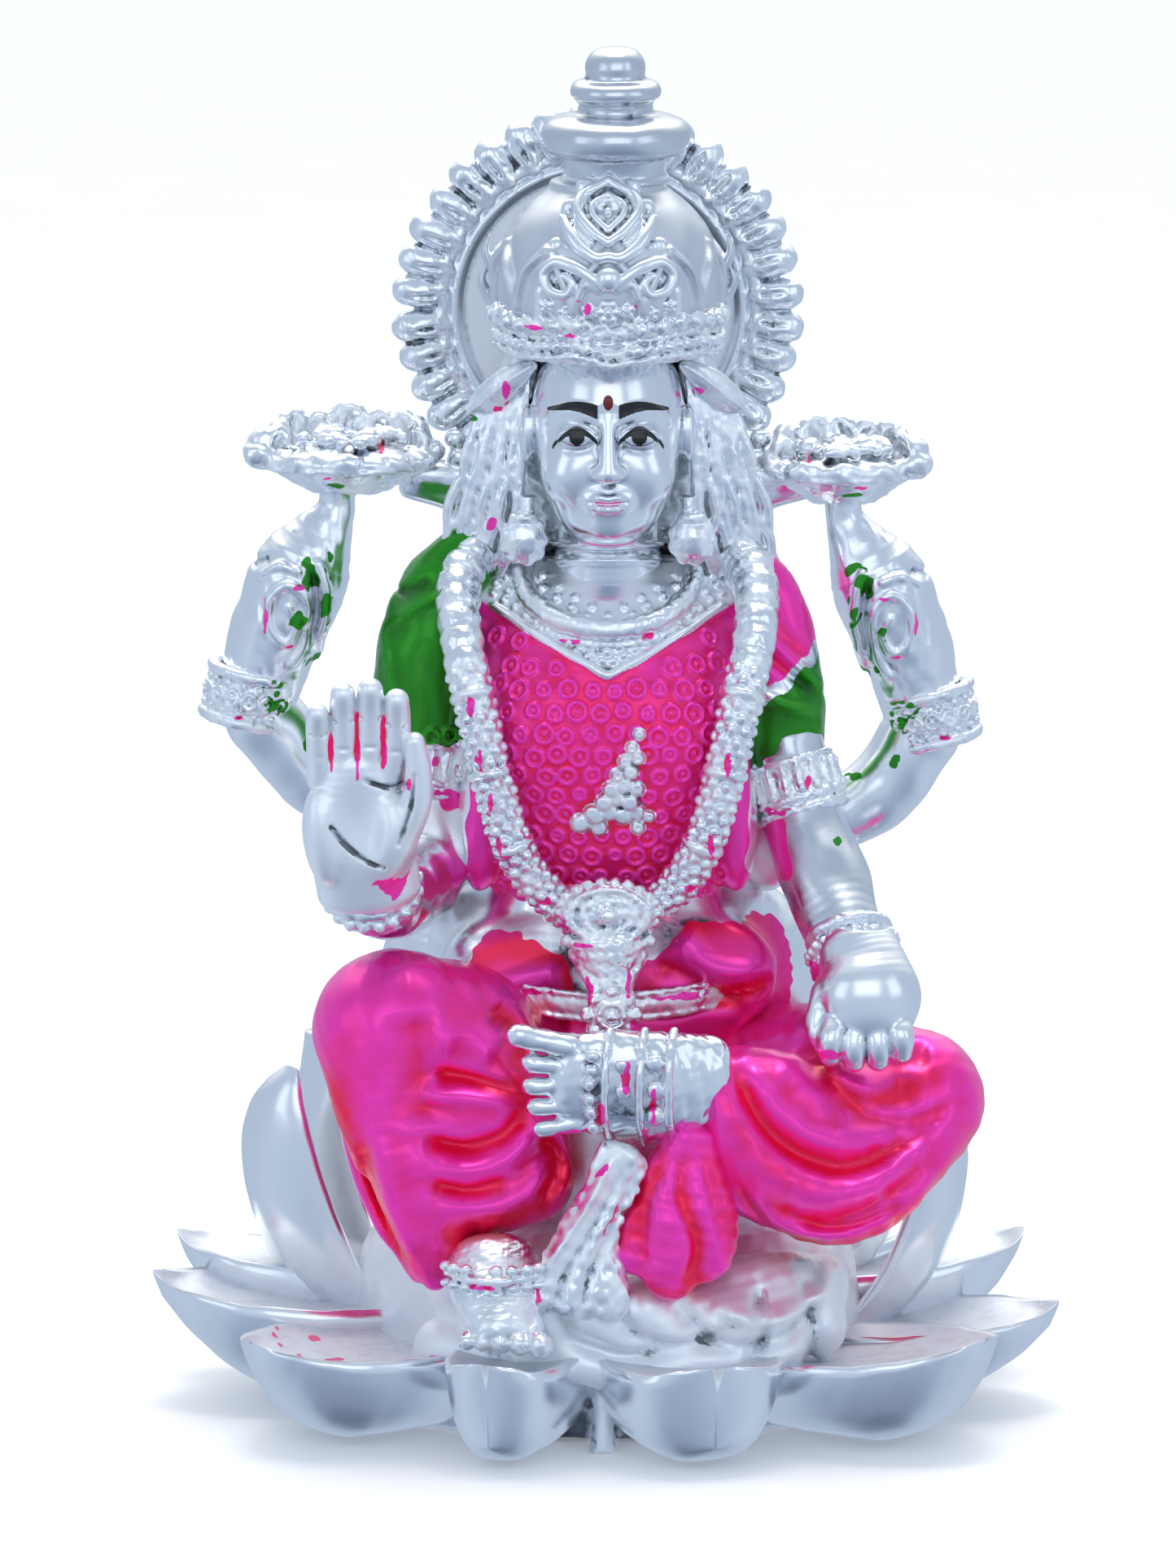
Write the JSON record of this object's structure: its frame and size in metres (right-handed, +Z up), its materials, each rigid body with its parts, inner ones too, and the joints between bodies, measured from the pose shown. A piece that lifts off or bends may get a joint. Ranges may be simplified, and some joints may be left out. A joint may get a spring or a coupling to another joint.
{
  "type": "hindu deity statue",
  "caption": "Seated four-armed deity statuette on an open lotus, bright plated with pink and green lacquered clothes.",
  "frame": {"origin": "centre of the flat underside of the lotus seat", "axes": "+Z up, the figure faces -Y, its own left hand is towards +X"},
  "size_m": [0.079, 0.0571, 0.12],
  "materials": {
    "silver_plate": "bright silver plating, mirror-like on smooth areas and soft on the fine detail",
    "pink_lacquer": "translucent candy lacquer over the plating, redder in the hollows",
    "green_lacquer": "translucent candy lacquer over the plating"
  },
  "bodies": {
    "root": {"lotus_seat": "silver_plate", "hips": "silver_plate", "blouse": "pink_lacquer", "head": "silver_plate", "right_foot": "silver_plate", "left_foot": "silver_plate", "right_arm": "silver_plate", "left_arm": "silver_plate", "right_hand": "silver_plate", "left_hand": "silver_plate", "right_sleeve": "green_lacquer", "left_sleeve": "green_lacquer", "right_armlet": "silver_plate", "left_armlet": "silver_plate", "right_bracelet": "silver_plate", "left_bracelet": "silver_plate", "girdle": "silver_plate", "waist_sash": "silver_plate", "right_leg_drape": "pink_lacquer", "left_leg_drape": "pink_lacquer", "drape_tail": "pink_lacquer", "sash_tail": "silver_plate", "crown_dome": "silver_plate", "crown_finial": "silver_plate", "crown_band": "silver_plate", "crown_crest": "silver_plate", "necklace": "silver_plate", "garland": "silver_plate", "right_earring": "silver_plate", "left_earring": "silver_plate", "hair": "silver_plate", "halo_disc": "silver_plate", "halo_rays": "silver_plate", "rear_right_upper_arm": "silver_plate", "rear_right_forearm": "silver_plate", "rear_right_armlet": "silver_plate", "rear_right_bloom": "silver_plate", "rear_left_upper_arm": "silver_plate", "rear_left_forearm": "silver_plate", "rear_left_armlet": "silver_plate", "rear_left_bloom": "silver_plate", "upright_petal_right_front": "silver_plate", "upright_petal_right_rear": "silver_plate", "upright_petal_left_front": "silver_plate", "upright_petal_left_rear": "silver_plate", "upright_petal_back_right": "silver_plate", "upright_petal_back_left": "silver_plate", "petal_front_right": "silver_plate", "petal_front_left": "silver_plate", "petal_broad_right": "silver_plate", "petal_broad_left": "silver_plate", "petal_side_right": "silver_plate", "petal_side_left": "silver_plate", "petal_rear_side_right": "silver_plate", "petal_rear_side_left": "silver_plate", "petal_rear_corner_right": "silver_plate", "petal_rear_corner_left": "silver_plate", "petal_back_right": "silver_plate", "petal_back_left": "silver_plate"}
  },
  "joints": []
}
